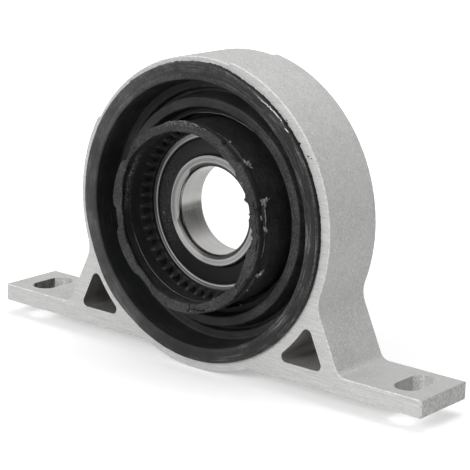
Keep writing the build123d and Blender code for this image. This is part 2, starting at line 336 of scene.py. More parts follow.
def rounded_corner(before, here, after, reach):
    """Points along an arc of that radius in place of a corner."""
    before = (before - here) / np.linalg.norm(before - here)
    after = (after - here) / np.linalg.norm(after - here)
    half = np.arccos(np.clip(before @ after, -1, 1)) / 2
    centre = here + (before + after) / np.linalg.norm(before + after) * reach / np.sin(half)
    start = here + before * reach / np.tan(half) - centre
    end = here + after * reach / np.tan(half) - centre
    bend = pi - 2 * half
    shares = np.linspace(0, 1, max(3, int(np.ceil(bend / radians(18))) + 1))
    return [
        centre + (np.sin((1 - share) * bend) * start + np.sin(share * bend) * end) / np.sin(bend)
        for share in shares
    ]


class Rows:
    """Rings of points round the shaft that make up a skin, with one value for each point that tells how worn
    it is and where shade is painted: 0 where it is plain, up to 1 where it is scuffed, above that where it
    is stretched and pale, and below 0 where it is painted dark: painted shade in gaps, cracks, the crease
    and beside the ribs, and a dark floor between the ribs and on the lip over the bearing's edge."""

    def __init__(self):
        self.rings = []

    def ring(self, count, radius, depth, wear_and_shade=0.0):
        self.rings.append([np.broadcast_to(np.asarray(v, float), count) for v in (radius, depth, wear_and_shade)])

    def path(self, count, corners, step, wear_and_shade=0.0):
        """Rings along a line of corners, each given as (radius, depth, rounding)."""
        spots = []
        for index, (radius, depth, rounding) in enumerate(corners):
            here = np.array((radius, depth))
            if rounding:
                before, after = (np.array(corners[index + side][:2]) for side in (-1, 1))
                spots.append(rounded_corner(before, here, after, rounding))
            else:
                spots.append([here])
        for group, following in zip(spots, spots[1:] + [None]):
            for spot in group:
                self.ring(count, *spot, wear_and_shade)
            if following is not None:
                gap = following[0] - group[-1]
                pieces = int(np.ceil(np.linalg.norm(gap) / step))
                for piece in range(1, pieces):
                    self.ring(count, *(group[-1] + gap * piece / pieces), wear_and_shade)

    def faces(self, starts):
        """The faces between each ring and the next. Their counts may differ by a whole factor."""
        faces = []
        total = len(self.rings)
        for index in range(total):
            after = (index + 1) % total
            many, few = len(self.rings[index][0]), len(self.rings[after][0])
            first, second = starts[index], starts[after]
            flip = many < few
            if flip:
                many, few, first, second = few, many, second, first
            ratio = many // few
            split = (ratio + 1) // 2
            for turn in range(few):
                near_side = [first + turn * ratio + i for i in range(split)]
                far_side = [first + (turn * ratio + i) % many for i in range(split, ratio + 1)]
                left, right = second + turn, second + (turn + 1) % few
                fans = [(near_side[i], near_side[i + 1], left) for i in range(split - 1)]
                fans.append((near_side[-1], far_side[0], right, left))
                fans += [(far_side[i], far_side[i + 1], right) for i in range(len(far_side) - 1)]
                faces += [face[::-1] for face in fans] if flip else fans
        return faces

    def mesh(self, name):
        """The closed skin."""
        points = np.vstack([at(angles(len(radius)), radius, depth) for radius, depth, _ in self.rings])
        starts = np.cumsum([0] + [len(radius) for radius, _, _ in self.rings]).tolist()
        mesh = bpy.data.meshes.new(name)
        mesh.from_pydata((points * MM).tolist(), [], self.faces(starts))
        write_attribute(mesh, "wear_and_shade", np.concatenate([wear_and_shade for _, _, wear_and_shade in self.rings]))
        return mesh


def at(turn, radius, depth):
    """Points from angles, radii and depths."""
    turn = np.radians(turn)
    return np.column_stack((radius * np.cos(turn), FRONT_FACE + depth, radius * np.sin(turn)))


# The rubber mount's sizes

RIM_FRONT, RIM_FILM = -1.75, 0.08
BORE = 50.0
MOUTH = 45.1
STEP_RADIUS, STEP_DEPTH = 44.2, 8.6
STEP_INNER = 41.5
GROOVE_OUTER, GROOVE_INNER, GROOVE_DEPTH = 41.0, 40.0, 10.8
CREST_OUTER, CREST_INNER, CREST_DEPTH = 38.7, 35.4, 3.9
ROOT, ROOT_DEPTH = 33.5, 15.2
PARTING_EDGE, PARTING_DEPTH = 33.3, 8.5
HUB = 31.2
FLANGE_BACK, FLANGE_FACE = -5.12, -5.34
COLLAR_FRONT = -8.0
NOTCH, LUG, LUG_ROUND = 30.05, 31.8, 1.5
LUG_COUNT, LUG_FIRST, LUG_HALF = 8, 166.0, 15.6
TORN_LUG, TORN_LUG_ANGLE = 32.15, 96
COLLAR_INSIDE, COLLAR_INSIDE_REAR = 28.5, 29.2
CREASE_DEPTH, CREASE_WIDTH = -6.3, 0.6
RIDGE_DEPTH, RIDGE_WIDTH, RIDGE_HEIGHT = -4.3, 1.2, 0.55
MOUTH_STEP = -1.8
WALL = 29.55
RIB_COUNT, RIB_FIRST, RIB_SOFT = 47, 1.65, 0.3
RIB_TIP_HALF, RIB_HALF, RIB_WIDE = 0.5, 1.1, 5.4
RIB_START, RIB_FULL, RIB_TOP, RIB_END, RIB_GAP = 3.4, 4.4, 28.6, 27.75, 29.35
RIB_FLOOR = 6.95
SEAT = 29.15
SEAT_DEPTH = 7.42
LIP, LIP_DEPTH, LIP_FRONT = 27.42, 8.15, 7.2
HUB_REAR = 19.9
CHANNEL_OUTER, CHANNEL_INNER, CHANNEL_DEPTH = 37.7, 36.4, 9.2
REAR_CORNER, REAR_DEPTH = 39.05, 13.8
WEB_REAR = 18.2
BAND_REAR, BAND_REAR_RADIUS = 24.9, 44.55
SLEEVE_BORE, SLEEVE_FRONT = 48.4, 0.8
BEND_OUTER, BEND_INNER = 44.0, 32.6

# Worn outlines, as (angle, radius)
RIM_OUTLINE = [
    (0, 50.1), (66, 50.1), (72, 50.2), (78, 50.75), (90, 50.85), (114, 50.85), (190, 50.75), (198, 50.45),
    (208, 50.5), (216, 50.85), (224, 50.85), (236, 50.2), (276, 50.1),
]
COLLAR_OUTLINE = [
    (168, 31.75), (176.5, 31.7), (181, 31.15), (185, 29.3), (194.5, 29.15), (197, 30.7), (200, 31.25),
    (208, 31.4), (226.5, 31.2), (229.5, 30.5), (231.5, 29.5), (238, 29.7), (242, 30.1), (243.5, 30.9),
    (246, 31.5), (258, 32.4), (284, 31.9), (308, 31.8),
]
COLLAR_EDGE = [
    (3, 28.4), (4.5, 28.05), (8, 28.05), (12, 28.4), (16, 29.1), (23.5, 28.0), (25.5, 28.5), (33.5, 28.9),
    (38.5, 27.9), (44.5, 28.9), (53.5, 28.0), (60, 28.4), (80, 28.8), (131, 28.8), (144, 29.2), (161, 28.6),
    (175, 27.35), (180, 27.6), (190, 27.3), (205, 27.75), (213, 27.45), (226, 27.9), (232, 27.5),
    (246, 28.4), (258, 28.6), (290, 28.4), (306, 27.75), (320.5, 28.65), (324, 28.6), (334, 27.65),
    (345.5, 27.45), (347.5, 26.9), (348.5, 28.1), (351.5, 28.95), (358, 28.6),
]
FLANGE_EDGE = [
    (3, 32.2), (18, 32.3), (23, 31.8), (30, 31.6), (40, 31.7), (51, 32.1), (57, 31.9), (62, 32.2),
    (75, 31.95), (180, 31.9), (184, 31.3), (194, 31.3), (198, 31.9), (229, 31.9), (233, 31.6),
    (240, 31.6), (244, 31.9), (310, 31.95), (330, 32.25), (335, 31.8), (350, 31.8),
]

# Cracks in the collar's front, each as a line of (angle, radius)
CRACKS = [
    [(276.8, 28.3), (276.6, 30.1), (274.8, 31.5)],
    [(276.9, 30.6), (280.2, 30.4), (285.0, 30.9), (289.0, 30.9)],
    [(321.4, 29.2), (320.6, 30.7), (319.0, 31.9)],
    [(332.0, 31.4), (327.4, 31.1), (323.5, 31.0), (320.6, 31.6)],
    [(357.0, 31.0), (350.0, 30.95), (344.0, 30.9), (337.0, 30.9)],
    [(21.0, 30.6), (15.0, 30.7), (9.0, 30.4), (2.0, 30.6)],
    [(60.0, 31.0), (53.0, 30.9), (47.0, 30.8)],
]
CRACK_WIDTH, CRACK_DEPTH = 0.14, 0.5

# The fold's inner wall before and behind the flash at its parting line, as (radius, depth)
FOLD_WALL = [(34.7, 8.0), (34.66, 8.3), (34.58, 8.75), (34.5, 9.4)]

# Notches between the lugs that are partly filled, as (angle, fill)
SHALLOW_NOTCHES = [(53, 1.1), (8, 1.2), (323, 1.3)]


# The rubber mount, from the bracket's bore round the front to the back

def rubbed(turn):
    """How much the band, the fold and the neck are painted lighter in a grainy scuff: most at the right and
    some at the top.
    """
    return 0.08 + 0.2 * near(turn, 115, 65, 30) + 0.35 * near(turn, 0, 80, 40)


def rim_rows(rows):
    """The rim, with torn flash at its outer edge, and a gap beside the bracket at the right where the rim's
    edge is painted dark as shade.
    """
    turn = angles(FINE)
    rim = listed(turn, RIM_OUTLINE) + RIM_FILM
    flash = np.clip(jagged(turn, 11, 150) * 0.5 + jagged(turn, 12, 420) * 0.35 - 0.4, 0.0, 0.45)
    flash *= np.maximum(near(turn, 112, 45, 20), near(turn, 212, 22, 10))
    # At the right the rim's outer edge is jagged and painted dark: painted shade in the gap beside the
    # bracket.
    gap = near(turn, 30, 60, 20)
    edge = rim + flash + 0.04 * ripple(turn, 13, 60, 0.6) + 0.3 * gap * (jagged(turn, 16, 540) - 0.5)
    rows.ring(PLAIN, BORE, -0.02)
    rows.ring(FINE, edge, -0.02, 0.3 - 1.2 * gap)
    rows.ring(FINE, edge - 0.03, -0.22, 0.5 - 1.4 * gap)
    rows.ring(FINE, rim - 0.02 + 0.03 * ripple(turn, 14, 90, 0.5), -0.4, 0.1 - gap)
    rim += 0.03 * ripple(turn, 15, 120, 0.4)
    for inset, depth in ((0.02, -0.9), (0.07, -1.2)):
        rows.ring(FINE, rim - inset, depth, 0.1 - 0.8 * gap)
    for inset, depth in ((0.2, -1.5), (0.4, -1.69), (0.65, RIM_FRONT)):
        rows.ring(FINE, rim - inset, depth, 0.35 + 0.3 * gap)
    for radius, wear_and_shade in ((49.2, 0.2), (48.6, 0.15), (47.6, 0.1)):
        rows.ring(PLAIN, radius, RIM_FRONT, wear_and_shade)


def fold_rows(rows):
    """The band's wall, the step, the outer groove, the fold with flash at the mould's parting line, and
    the neck."""
    turn = angles(PLAIN)
    wall_start, before_flash, behind_flash, wall_end = FOLD_WALL
    rows.path(PLAIN, [
        (MOUTH + 1.5, RIM_FRONT, 0), (MOUTH, RIM_FRONT, 0.5),
        (STEP_RADIUS, STEP_DEPTH, 0.6), (STEP_INNER, STEP_DEPTH, 0.6),
        (GROOVE_OUTER, GROOVE_DEPTH, 0.4), (GROOVE_INNER, GROOVE_DEPTH, 0.4),
        (CREST_OUTER, CREST_DEPTH, 0.7), (CREST_INNER, CREST_DEPTH, 0.7), (*wall_start, 0),
    ], 1.6, rubbed(turn))
    edge = PARTING_EDGE + 0.12 * ripple(turn, 21, 50, 0.7)
    edge += 0.25 * jagged(turn, 22, 90) * near(turn, 300, 40)
    edge -= 0.5 * np.maximum(near(turn, 304, 26, 12), near(turn, 82, 32, 15))
    pale = 1.1 * near(turn, 82, 28, 12)
    rows.ring(PLAIN, *before_flash)
    for radius, depth, wear_and_shade in ((edge + 0.22, -0.12, 0.0), (edge + 0.04, -0.1, 0.7 + pale),
                                (edge, -0.06, 0.9 + pale), (edge, 0.08, 0.7)):
        rows.ring(PLAIN, radius, PARTING_DEPTH + depth, wear_and_shade)
    rows.ring(PLAIN, *behind_flash)
    rows.path(PLAIN, [
        (*wall_end, 0), (ROOT, ROOT_DEPTH, 0.6), (HUB, ROOT_DEPTH, 0.6), (HUB, -3.8, 0),
    ], 2.0, rubbed(turn))


def flange_rows(rows):
    """The thin flange behind the collar, torn at the right and pale where it was stretched."""
    turn = angles(FINE)
    flange = listed(turn, FLANGE_EDGE) + 0.06 * ripple(turn, 37, 60, 0.6)
    flange += 0.25 * (jagged(turn, 38, 240) - 0.4) * near(turn, 15, 75, 20)
    pale = 0.12 + 0.8 * (near(turn, 57, 10, 5) + near(turn, 10, 9, 5) + near(turn, 325, 9, 5))
    pale += 0.3 * near(turn, 350, 10, 5)
    rows.ring(FINE, HUB, FLANGE_BACK + 0.42)
    rows.ring(FINE, HUB + 0.05, FLANGE_BACK + 0.12, 0.1)
    rows.ring(FINE, flange - 0.1, FLANGE_BACK, pale)
    rows.ring(FINE, flange, FLANGE_BACK - 0.08, pale)
    rows.ring(FINE, flange, FLANGE_FACE + 0.04, pale)
    rows.ring(FINE, flange - 0.12, FLANGE_FACE, 0.1)


def collar_outside(turn):
    """The collar's outer radius: rounded lugs with notches between them, some partly filled, the worn line
    of the left side, and a torn lug at the top."""
    lug = (np.radians(LUG_HALF - repeated(turn, LUG_FIRST, LUG_COUNT)) * LUG + LUG_ROUND) / (2 * LUG_ROUND)
    lugs = NOTCH + (LUG - NOTCH) * eased(lug)
    first, last = COLLAR_OUTLINE[0][0], COLLAR_OUTLINE[-1][0]
    outside = np.where((turn > first) & (turn < last), listed(turn, COLLAR_OUTLINE), lugs)
    for angle, fill in SHALLOW_NOTCHES:
        outside = np.maximum(outside, NOTCH + fill * near(turn, angle, 11, 5))
    outside += 0.06 * ripple(turn, 31, 80, 0.6)
    filled = near(turn, TORN_LUG_ANGLE, 13, 5)
    torn = TORN_LUG + 0.25 * (jagged(turn, 32, 260) - 0.3)
    return outside * (1 - filled) + torn * filled


def collar_inside(turn):
    """The radius of the collar's ragged inner edge."""
    torn = 1.1 * (jagged(turn, 34, 280) - 0.3) * near(turn, 10, 24, 8) + 0.3 * near(turn, 30, 28, 12)
    return listed(turn, COLLAR_EDGE) + 0.08 * ripple(turn, 33, 170, 0.3) - torn


def cracked(turn, radius):
    """1 on the cracks in the collar's front and 0 beside them."""
    x, z = radius * np.cos(np.radians(turn)), radius * np.sin(np.radians(turn))
    closest = np.full_like(turn, 9.0)
    for line in CRACKS:
        spots = [(r * cos(radians(a)), r * sin(radians(a))) for a, r in line]
        for (ax, az), (bx, bz) in zip(spots, spots[1:]):
            length = (bx - ax) ** 2 + (bz - az) ** 2
            share = np.clip(((x - ax) * (bx - ax) + (z - az) * (bz - az)) / length, 0, 1)
            closest = np.minimum(closest, np.hypot(x - ax - share * (bx - ax), z - az - share * (bz - az)))
    return np.exp(-(closest / CRACK_WIDTH) ** 2)


def collar_rows(rows):
    """The collar's lugs and its ragged, cracked front face, with the cracks painted dark as shade inside
    them, and crumbs along the torn lug.
    """
    turn = angles(FINE)
    outside = collar_outside(turn)
    inside = collar_inside(turn)
    crumbs = near(turn, TORN_LUG_ANGLE, 13, 5) * jagged(turn, 35, 300)
    rows.ring(FINE, outside, FLANGE_FACE - 0.12, 0.05)
    rows.ring(FINE, outside + 0.03 * ripple(turn, 91, 90, 0.4), COLLAR_FRONT + 1.9, 0.1)
    rows.ring(FINE, outside + 0.03 * ripple(turn, 92, 90, 0.4), COLLAR_FRONT + 1.2, 0.1 + 0.3 * crumbs)
    rows.ring(FINE, outside, COLLAR_FRONT + 0.6, 0.2 + 0.6 * crumbs)
    rows.ring(FINE, outside - 0.06, COLLAR_FRONT + 0.25, 0.35 + crumbs)
    rows.ring(FINE, outside - 0.22, COLLAR_FRONT + 0.05, 0.4 + crumbs)
    front = COLLAR_FRONT + 0.07 * ripple(turn, 36, 60, 0.6)
    for percent in (7, 16, 26, 36, 46, 56, 66, 76, 86, 95):
        radius = outside - (outside - inside) * percent / 100
        # Each crack is cut in and painted dark: painted shade inside it.
        crack = cracked(turn, radius)
        depth = front + 0.08 * ripple(turn, 40 + percent, 260, 0.1) + CRACK_DEPTH * crack
        rows.ring(FINE, radius, depth, 0.36 + 0.6 * crumbs * (percent < 40) - 1.1 * crack)
    rows.ring(FINE, inside + 0.06, COLLAR_FRONT + 0.12, 0.45)
    rows.ring(FINE, inside, COLLAR_FRONT + 0.4, 0.35)


def collar_inside_rows(rows):
    """The rough wall inside the collar, with a ridge and a crease at the left, painted shade over the crease
    and the wall in front of it, and the lip at its end.
    """
    turn = angles(FINE)
    inside = collar_inside(turn)
    crease_and_painted_shade = near(turn, 182, 70, 18)
    ridge = near(turn, 162, 26, 10)
    for depth in (-7.15, -6.7, -6.2, -5.7, -5.45, -5.1, -4.5, -3.8, -3.1, -2.5):
        wall = np.interp(depth, (COLLAR_FRONT, MOUTH_STEP), (COLLAR_INSIDE, COLLAR_INSIDE_REAR))
        wall = np.maximum(wall, inside + 0.03 * (depth - COLLAR_FRONT))
        crease = crease_and_painted_shade * np.exp(-((depth - CREASE_DEPTH) / CREASE_WIDTH) ** 2)
        swell = RIDGE_HEIGHT * ridge * np.exp(-((depth - RIDGE_DEPTH) / RIDGE_WIDTH) ** 2)
        rough = 0.07 * (1 + 1.6 * ridge) * ripple(turn, 60 + int(-depth * 10), 220, 0.2)
        # Painted shade: the crease and the wall in front of it are painted dark.
        wear_and_shade = 0.16 + 0.7 * ridge * (depth > -5.4) - 1.3 * crease_and_painted_shade * (depth < -5.4)
        rows.ring(FINE, wall + crease - swell + rough, depth, wear_and_shade)
    lip = COLLAR_INSIDE_REAR - 0.12 * near(turn, 230, 70, 20) + 0.04 * ripple(turn, 71, 120, 0.5)
    pale = 0.9 + 0.5 * near(turn, 230, 35, 15)
    rows.ring(FINE, COLLAR_INSIDE_REAR, MOUTH_STEP - 0.12, 0.2)
    rows.ring(FINE, lip, MOUTH_STEP - 0.06, pale)
    rows.ring(FINE, lip, MOUTH_STEP + 0.08, pale)
    rows.ring(FINE, WALL, MOUTH_STEP + 0.35)


def rib_rows(rows):
    """The ribs in front of the bearing, wider behind narrow tips, with painted light on their tips and
    painted shade beside them at the lower left and the upper left, and the lip over the bearing's edge; the
    floor between the ribs and the lip are painted dark.
    """
    turn = angles(FINE)
    away = np.radians(repeated(turn, RIB_FIRST, RIB_COUNT)) * RIB_TOP
    shade = np.maximum(near(turn, 255, 40, 20), 0.6 * near(turn, 130, 30, 15))
    rows.ring(FINE, WALL, RIB_START - 0.5)
    for depth in (RIB_START, 3.65, RIB_FULL, 4.8, RIB_WIDE, RIB_FLOOR - 0.02):
        half = np.interp(depth, (RIB_FULL, RIB_WIDE), (RIB_TIP_HALF, RIB_HALF))
        rib = eased((half + RIB_SOFT - away) / (2 * RIB_SOFT))
        top = np.interp(depth, (RIB_START, RIB_FULL, RIB_FLOOR), (WALL, RIB_TOP, RIB_END))
        gap = np.interp(depth, (RIB_START, RIB_FULL), (WALL, RIB_GAP))
        # Painted light: the ribs' front tips are painted lighter. Painted shade: the sides beside the ribs
        # are painted darker at the lower left and the upper left.
        lit_tip = rib * (3.5 < depth < 4.6)
        wear_and_shade = 0.1 + 0.4 * lit_tip - shade * (1 - rib) * (depth > 4.3)
        rows.ring(FINE, gap + (top - gap) * rib, depth, wear_and_shade)
    # The floor between the ribs and the lip over the bearing's edge are painted dark.
    rows.ring(FINE, RIB_END - 0.1, RIB_FLOOR, 0.7 * rib - 1.0)
    rows.ring(FINE, LIP, LIP_FRONT, 0.7 * rib - 1.0)
    rows.ring(FINE, LIP, LIP_DEPTH, 0.6 * rib - 1.0)
    rows.ring(PLAIN, LIP + 0.06, LIP_DEPTH)
    rows.ring(PLAIN, LIP + 0.06, SEAT_DEPTH)


def back_rows(rows):
    """The bearing's seat and the plain back."""
    rows.path(COARSE, [
        (SEAT, SEAT_DEPTH, 0), (SEAT, HUB_REAR, 0), (HUB, HUB_REAR, 0), (HUB, WEB_REAR, 0.5),
        (CHANNEL_INNER, WEB_REAR, 0), (CHANNEL_INNER, CHANNEL_DEPTH, 0), (CHANNEL_OUTER, CHANNEL_DEPTH, 0),
        (REAR_CORNER, REAR_DEPTH, 0), (STEP_RADIUS, REAR_DEPTH, 0.5), (BAND_REAR_RADIUS, BAND_REAR, 0),
        (SLEEVE_BORE, BAND_REAR, 0), (SLEEVE_BORE, SLEEVE_FRONT, 0), (BORE - 0.02, SLEEVE_FRONT, 0),
    ], 8.0)


def finished(name, mesh, look, body=None):
    """The mesh as a piece of the object, smooth where it is round."""
    mesh.materials.append(look.material)
    mesh.polygons.foreach_set("use_smooth", np.ones(len(mesh.polygons), bool))
    mesh.set_sharp_from_angle(angle=radians(38))
    item = bpy.data.objects.new(name, mesh)
    bpy.context.collection.objects.link(item)
    if body:
        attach(item, body)
    return item


def rubber(look):
    """The rubber mount as one piece that bends between the bracket and the bearing's seat."""
    rows = Rows()
    for section in (rim_rows, fold_rows, flange_rows, collar_rows, collar_inside_rows, rib_rows, back_rows):
        section(rows)
    mesh = rows.mesh("rubber")
    points = np.empty(len(mesh.vertices) * 3)
    mesh.vertices.foreach_get("co", points)
    points = points.reshape(-1, 3)
    write_attribute(mesh, "rest", points, "FLOAT_VECTOR")
    item = finished("rubber", mesh, look)
    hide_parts("rubber_mount")
    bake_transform(item, "bracket", "bearing_seat", (BORE * MM, 0, 0), (HUB * MM, 0, 0))
    # The call bends along one line. The fold is round, so each body's share goes by the radius instead.
    radius = np.hypot(points[:, 0], points[:, 2]) / MM
    share = eased((BEND_OUTER - radius) / (BEND_OUTER - BEND_INNER))
    mesh.attributes["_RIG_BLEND"].data.foreach_set("value", share.astype(np.float32))


# Small torn pieces

SIDES = 7


def thread(line, width, rng):
    """An uneven, flattened thread along a line of points, thickest in its middle, as points and faces."""
    count = 8 * (len(line) - 1) + 1
    share = np.linspace(0, len(line) - 1, count)
    line = np.column_stack([np.interp(share, range(len(line)), axis) for axis in line.T])
    for _ in range(3):
        line[1:-1] = (line[:-2] + 2 * line[1:-1] + line[2:]) / 4
    line[1:-1] += rng.normal(0, width * 0.2, (count - 2, 3))
    ahead = np.gradient(line, axis=0)
    ahead /= np.linalg.norm(ahead, axis=1)[:, None]
    out = line * (1, 0, 1)
    out -= (out * ahead).sum(1)[:, None] * ahead
    out /= np.linalg.norm(out, axis=1)[:, None]
    side = np.cross(ahead, out)
    swell = np.sin(np.linspace(0.25, pi - 0.25, count)) * rng.uniform(0.5, 1.3, count) * width / 2
    uneven = swell[:, None] * rng.uniform(0.7, 1.3, (count, SIDES))
    around = np.arange(SIDES)[None, :, None] * 2 * pi / SIDES
    circle = np.cos(around) * side[:, None] + 0.6 * np.sin(around) * out[:, None]
    points = (line[:, None] + uneven[..., None] * circle).reshape(-1, 3)
    faces = [
        (i * SIDES + j, i * SIDES + (j + 1) % SIDES, (i + 1) * SIDES + (j + 1) % SIDES, (i + 1) * SIDES + j)
        for i in range(count - 1) for j in range(SIDES)
    ]
    faces += [tuple(range(SIDES))[::-1], tuple(range((count - 1) * SIDES, count * SIDES))]
    return points, faces


def strands(name, look, body, threads, seed):
    """One piece made of threads, each given as (spots, width), with spots as (angle, radius, depth)."""
    rng = np.random.default_rng(seed)
    points, faces = [], []
    for spots, width in threads:
        line = at(*(np.array(v, float) for v in zip(*spots)))
        spread, skin_faces = thread(line, width, rng)
        start = sum(map(len, points))
        faces += [tuple(start + i for i in face) for face in skin_faces]
        points.append(spread)
    mesh = bpy.data.meshes.new(name)
    mesh.from_pydata((np.vstack(points) * MM).tolist(), [], faces)
    finished(name, mesh, look, body)


def tufts(seed):
    """Short threads that stick out of each torn spot, every way but into the collar."""
    rng = np.random.default_rng(seed)
    threads = []
    for turn, radius, depth, reach, count in TORN_SPOTS:
        for _ in range(count):
            along, back = rng.uniform(-1, 1, 2) * reach
            out = rng.uniform(0.1, 0.55) * reach
            swing = degrees(along / radius)
            start = (turn + 0.3 * swing, radius - 0.15, depth + 0.3 * back)
            middle = (turn + 0.7 * swing, radius + out, depth + 0.6 * back)
            end = (turn + swing, radius + out * rng.uniform(0.4, 1.4), depth + back)
            threads.append(([start, middle, end], rng.uniform(0.22, 0.55)))
    return threads


# Each strand is a line of (angle, radius, depth) and a width
TORN_STRANDS = [
    ([(46.5, 31.9, -5.3), (44.6, 32.2, -4.9), (43.0, 31.8, -4.0), (42.6, 31.6, -2.6)], 0.5),
    ([(42.0, 31.7, -5.4), (42.8, 32.3, -5.0), (43.3, 32.2, -4.2)], 0.6),
    ([(18.0, 32.1, -6.0), (19.0, 32.4, -5.2), (19.6, 32.3, -3.6), (19.8, 31.9, -1.0)], 0.75),
    ([(20.4, 31.9, -5.2), (19.4, 32.5, -4.6), (19.6, 32.5, -2.8)], 0.55),
    ([(19.2, 32.4, -5.3), (17.8, 32.6, -4.8), (16.0, 32.3, -4.2)], 0.6),
    ([(13.9, 31.9, -5.3), (16.5, 32.2, -4.6), (19.0, 32.4, -5.1)], 0.4),
    ([(16.9, 32.6, -5.3), (10.5, 32.5, -5.25), (4.0, 32.3, -5.3)], 0.3),
    ([(5.0, 31.9, -6.2), (3.6, 32.4, -5.6), (2.6, 32.3, -4.6)], 0.7),
    ([(333.6, 31.7, -5.4), (334.6, 32.5, -4.7), (335.9, 32.7, -3.6), (336.6, 32.5, -2.4)], 1.0),
    ([(334.4, 32.4, -4.8), (333.4, 32.4, -4.3), (332.6, 32.0, -4.1)], 0.55),
    ([(358.0, 31.9, -5.3), (353.0, 31.9, -5.2), (346.0, 31.8, -5.3)], 0.28),
    ([(79.0, 31.5, -7.6), (76.5, 31.9, -7.4), (74.0, 31.6, -7.6)], 0.35),
    ([(107.0, 31.9, -7.8), (104.0, 32.2, -7.85), (101.0, 31.9, -7.8), (98.5, 32.2, -7.8)], 0.4),
    ([(97.0, 32.1, -7.75), (93.0, 32.4, -7.8), (89.0, 32.3, -7.8)], 0.35),
    ([(86.5, 32.1, -7.8), (83.0, 32.3, -7.8), (80.0, 31.9, -7.85), (78.0, 31.3, -8.0)], 0.35),
    ([(293.3, 32.9, 8.3), (292.5, 32.6, 8.1), (291.7, 32.9, 8.3)], 0.5),
]
# Each torn spot is an angle, a radius, a depth, how far its tufts reach and how many there are
TORN_SPOTS = [
    (43.5, 31.7, -4.9, 1.3, 12), (41.0, 31.6, -4.2, 1.0, 8), (18.6, 32.0, -5.1, 1.2, 12),
    (19.6, 31.8, -3.4, 1.0, 7), (3.2, 31.8, -5.2, 1.0, 10), (334.6, 32.0, -4.6, 1.0, 9),
    (336.0, 32.0, -3.2, 0.8, 6), (10.0, 31.3, -6.2, 0.8, 5), (277.9, 31.0, -8.0, 0.25, 3),
    (82.0, 31.9, -7.8, 0.5, 5), (60.0, 32.0, -5.2, 0.6, 4), (322.0, 32.1, -5.3, 0.6, 4),
]
RUBBER_CRUMBS = [
    ([(46.8, 50.6, -0.15), (46.6, 50.75, -0.1), (46.4, 50.7, -0.15)], 0.4),
    ([(46.1, 50.3, -0.2), (45.8, 50.45, -0.1), (45.5, 50.3, -0.2)], 0.45),
    ([(37.2, 50.2, -0.3), (36.9, 50.5, -0.1), (36.5, 50.3, -0.3)], 0.5),
    ([(31.5, 51.2, -0.1), (31.3, 51.4, -0.1), (31.2, 51.6, -0.1)], 0.5),
    ([(30.3, 52.1, -0.05), (30.2, 52.15, -0.05), (30.1, 52.15, -0.05)], 0.3),
    ([(180.9, 50.8, -0.2), (180.5, 51.9, -0.05), (180.2, 50.9, -0.2)], 0.6),
    ([(129.0, 50.8, -0.2), (127.5, 51.4, -0.1), (125.0, 50.9, -0.2)], 0.5),
]
SEAL_GRIT = [
    ([(191.2, 22.9, 8.1), (191.6, 23.0, 8.05), (192.0, 22.9, 8.1)], 0.5),
    ([(199.0, 21.2, 8.1), (199.3, 21.3, 8.05), (199.7, 21.2, 8.1)], 0.45),
]
RIM_SLIVERS = [
    ([(60.5, 49.45, -1.8), (57.7, 49.56, -1.8), (55.6, 49.72, -1.75), (53.3, 49.83, -1.7),
      (51.0, 49.95, -1.6), (48.5, 50.0, -1.55), (46.5, 50.05, -1.5)], 0.4),
    ([(44.5, 49.6, -1.75), (43.4, 49.75, -1.75), (42.0, 49.85, -1.7)], 0.35),
]


# Looks of the rubber and the seals

def rubber_look():
    """Black rubber: rubbed lines on the rim, pale where it is most worn, dark furrows, and dark where the
    skin's value is below 0: painted shade in gaps, cracks and the crease, and the dark floor between the
    ribs.
    """
    look = Look("mount_rubber", rough=0.55, specular=0.3, place="rest")
    wear_and_shade = look.node("Attribute", attribute_name="wear_and_shade").outputs["Fac"]
    lines = look.round_lines(3.5, 1.7)
    streak = look.clamp(look.noise(lines, 1.0, 3.0, 0.6), 0.47, 0.66)
    furrow = look.clamp(look.noise(lines, 1.3, 2.0), 0.5, 0.4)
    grain = look.noise(look.place, 1800.0, 4.0, 0.75)
    cloud = look.noise(look.place, 120.0, 3.0, 0.6)
    fleck = look.fine_noise(2400.0, 2.0, 0.7, 0.6, 0.78)
    rim = look.clamp(look.radius, MOUTH - 0.6, MOUTH + 1.4)
    rim_wear = look.times(rim, look.add(look.times(look.clamp(look.x, 3.0, 33.0), 0.5), 0.12))
    left = look.times(rim, look.clamp(look.x, 0.0, -30.0, 0.0, 0.22))
    patch = look.times(streak, look.add(rim_wear, 0.08), look.clamp(cloud, 0.35, 0.65, 0.25, 1.0))
    scuff = look.times(wear_and_shade, look.clamp(grain, 0.38, 0.62), 0.8)
    dust = look.add(look.clamp(cloud, 0.3, 0.7, -0.05, 0.1), look.times(fleck, 0.16))
    share = look.clamp(look.add(patch, left, scuff, dust), 0.0, 1.0)
    color = look.mix(share, (0.016, 0.0165, 0.0172), (0.16, 0.16, 0.165))
    color = look.mix(look.clamp(wear_and_shade, 0.95, 1.8), color, (0.5, 0.5, 0.5))
    # Below 0 the colour is painted dark: painted shade in gaps, cracks and the crease, and the dark floor
    # between the ribs.
    gap = look.clamp(look.times(wear_and_shade, -1.0), 0.0, 1.0)
    dark = look.most(gap, look.math("MINIMUM", look.times(furrow, rim_wear), 0.8))
    look.paint(look.mix(dark, color, (0.004, 0.004, 0.004)), look.clamp(grain, 0.2, 0.8, 0.48, 0.66))
    look.bump(look.add(grain, look.times(streak, 0.5)), 0.16, 0.8)
    return look


def torn_look():
    """Stretched and torn rubber, which turns pale."""
    look = Look("torn_rubber", rough=0.6)
    grain = look.noise(look.place, 2200.0, 3.0, 0.7)
    look.paint(look.mix(look.clamp(grain, 0.35, 0.65), (0.06, 0.06, 0.06), (0.42, 0.42, 0.41)))
    look.bump(grain, 0.1, 0.6)
    return look


